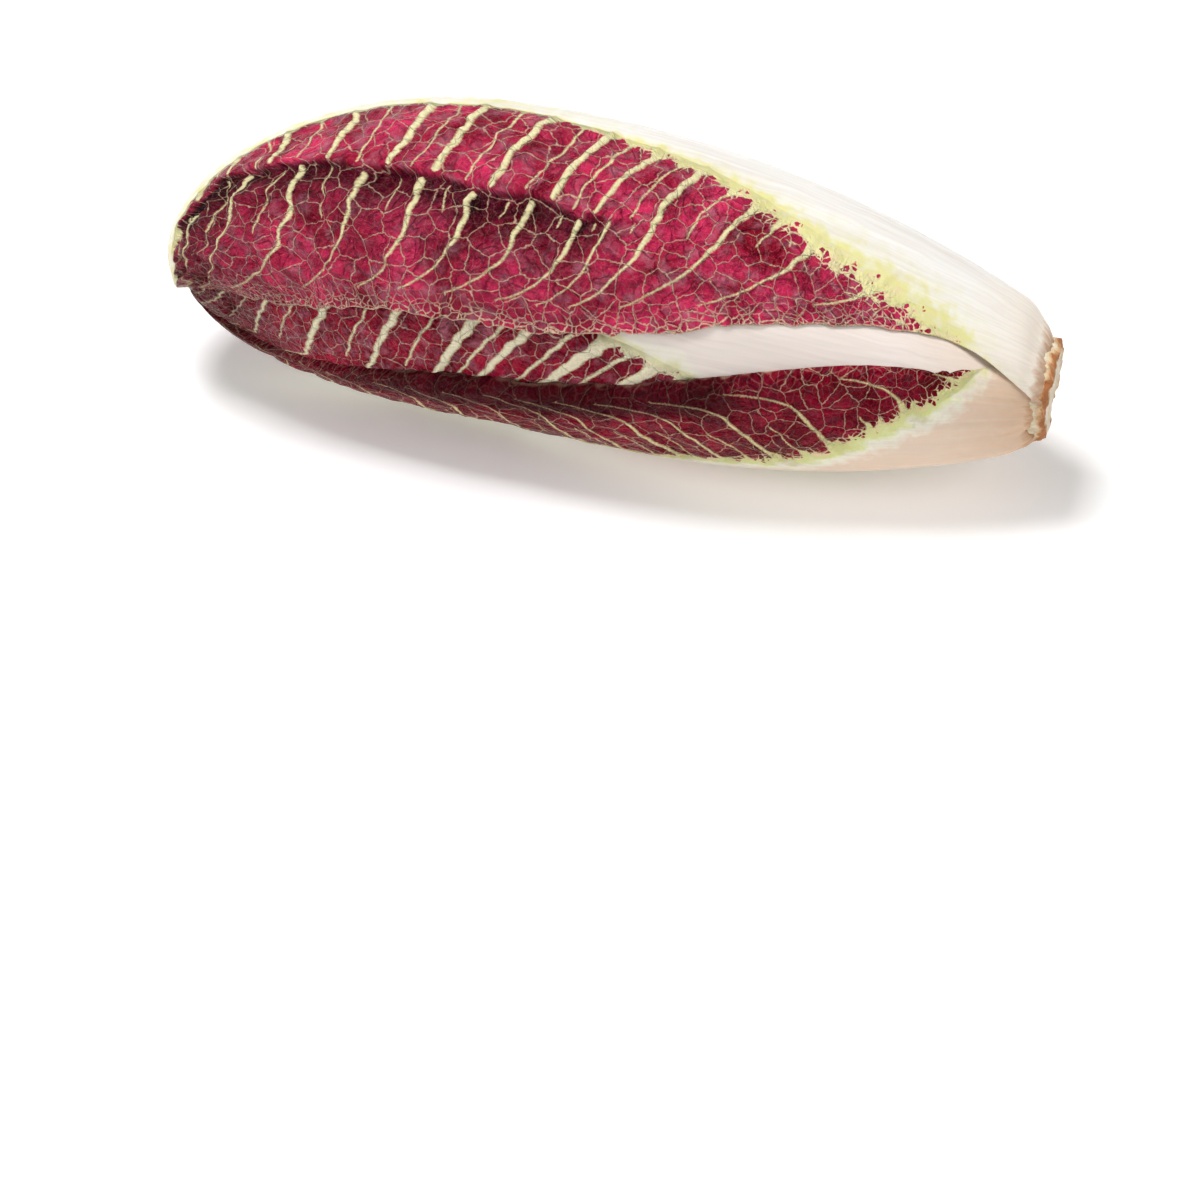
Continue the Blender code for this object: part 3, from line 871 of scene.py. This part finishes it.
LAYER_PITCH = 0.0018  # from one leaf to the next one in
INNER_LEAVES = 16  # with the last ones, at the heart
HEART_LEAVES = 3
FIRST_INNER_DEPTH = 0.0103
GOLDEN_ANGLE = 137.5
FIRST_INNER_BEARING = -125.0
inner_skin = leaf_skin(
    "inner_leaf_skin",
    sap=("#8E0E35", "#C2164A", "#5E0A28"),
    ivory=("#F3E6DC", "#F0D9D2", "#F4EEE6", "#F0E6DA"),
)
heart_skin = leaf_skin(
    "heart_leaf_skin",
    sap=("#C4284E", "#E0607A", "#A01E3C"),
    ivory=("#F8E9E2", "#F6DFD6", "#F6F0E8", "#F0E6DA"),
)


def inner_band(u):
    """A narrow white rib."""
    return 7 - 5 * u


def inner_band_soft(u):
    """The same softness all along."""
    return 5 + 0 * u


for number in range(INNER_LEAVES):
    inward = number / INNER_LEAVES
    depth = FIRST_INNER_DEPTH + LAYER_PITCH * number
    leaf = dict(
        depth=depth, bearing=FIRST_INNER_BEARING - GOLDEN_ANGLE * number, sway=0,
        base_width=58, width=78, spread_by=0.7, tip=0.4, clasp=0, rib=0.0021 * (1 - 0.4 * inward),
        rib_width=0.012 - 0.006 * inward, start=start_of(depth), end=0.94 - 0.03 * inward,
        length_mm=190 - 90 * inward, seed=53 + 7 * number, sweep=30, vein_pitch=13.0,
        vein_width=0.8, taper=0.35, vein_rise=0.4, pucker=0.35 * (1 - inward), sunk=0.1,
        band=inner_band, band_soft=inner_band_soft, tuck=0.0, droop=flat, dusk=flat,
    )
    heart = number - (INNER_LEAVES - HEART_LEAVES) + 1
    node_name = f"heart_leaf_{heart}" if heart > 0 else f"inner_leaf_{number + 1:02d}"
    skin = heart_skin if heart > 0 else inner_skin
    piece = grow_leaf(node_name + "_crinkled", leaf, 30, 24, 3, skin)
    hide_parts(node_name)


# ---------------------------------------------------------------------------------------------
# The table, the studio light and the camera.
# A white table top in a white room, lit by large softboxes from above and from both sides.


def matt_white_paint():
    """Matt white paint, rolled on: even, with no gloss. It glows a little, so shadows stay pale."""
    made, add = new_material("matt_white_paint")
    speck = add("TexNoise", Scale=40.0)
    base = add("ValToRGB", speck, stops=((0.0, "#F6F6F6"), (1.0, "#FAFAFA")))
    surface(add, base, 0.9, speck, 0.00001, Emission_Color=(1, 1, 1, 1), Emission_Strength=0.20)
    return made


bpy.ops.mesh.primitive_plane_add(size=30)
table = bpy.context.object
table.name = "table_top"
table.data.materials.append(matt_white_paint())

world = bpy.data.worlds.new("studio")
bpy.context.scene.world = world
world.use_nodes = True
walls = world.node_tree.nodes["Background"]
walls.inputs["Color"].default_value = (1, 1, 1, 1)
walls.inputs["Strength"].default_value = 0.24


def softbox(name, at, size, power):
    """A large square light that looks at the head."""
    light = bpy.data.lights.new(name, "AREA")
    light.size = size
    light.energy = power
    lamp = bpy.data.objects.new(name, light)
    bpy.context.scene.collection.objects.link(lamp)
    lamp.location = at
    lamp.rotation_euler = (-lamp.location).to_track_quat("-Z", "Y").to_euler()


softbox("light_above", (-0.35, 0.05, 1.30), 0.45, 13.5)
softbox("light_at_the_right", (1.1, -0.25, 0.9), 0.6, 4)
softbox("light_at_the_left", (-1.0, -0.7, 0.8), 0.6, 4)

AZIMUTH, ELEVATION, DISTANCE = np.radians(14.8), np.radians(45.5), 0.786
LENS = 100
AIM_HEIGHT = 0.037  # of the head's middle, and how far left of it and below it the camera looks
AIM_LEFT = 0.0026
AIM_BELOW = 0.0748
look = np.array([-np.sin(AZIMUTH), np.cos(AZIMUTH), -np.tan(ELEVATION)]) * np.cos(ELEVATION)
right = np.array([np.cos(AZIMUTH), np.sin(AZIMUTH), 0])
up = np.cross(right, look)
aim = np.array([0, 0, AIM_HEIGHT]) - AIM_LEFT * right - AIM_BELOW * up
camera_data = bpy.data.cameras.new("camera")
camera_data.lens = LENS
camera = bpy.data.objects.new("camera", camera_data)
bpy.context.scene.collection.objects.link(camera)
camera.location = aim - look * DISTANCE
camera.rotation_euler = (np.pi / 2 - ELEVATION, 0, AZIMUTH)
bpy.context.scene.camera = camera
bpy.context.scene.view_settings.view_transform = "Standard"
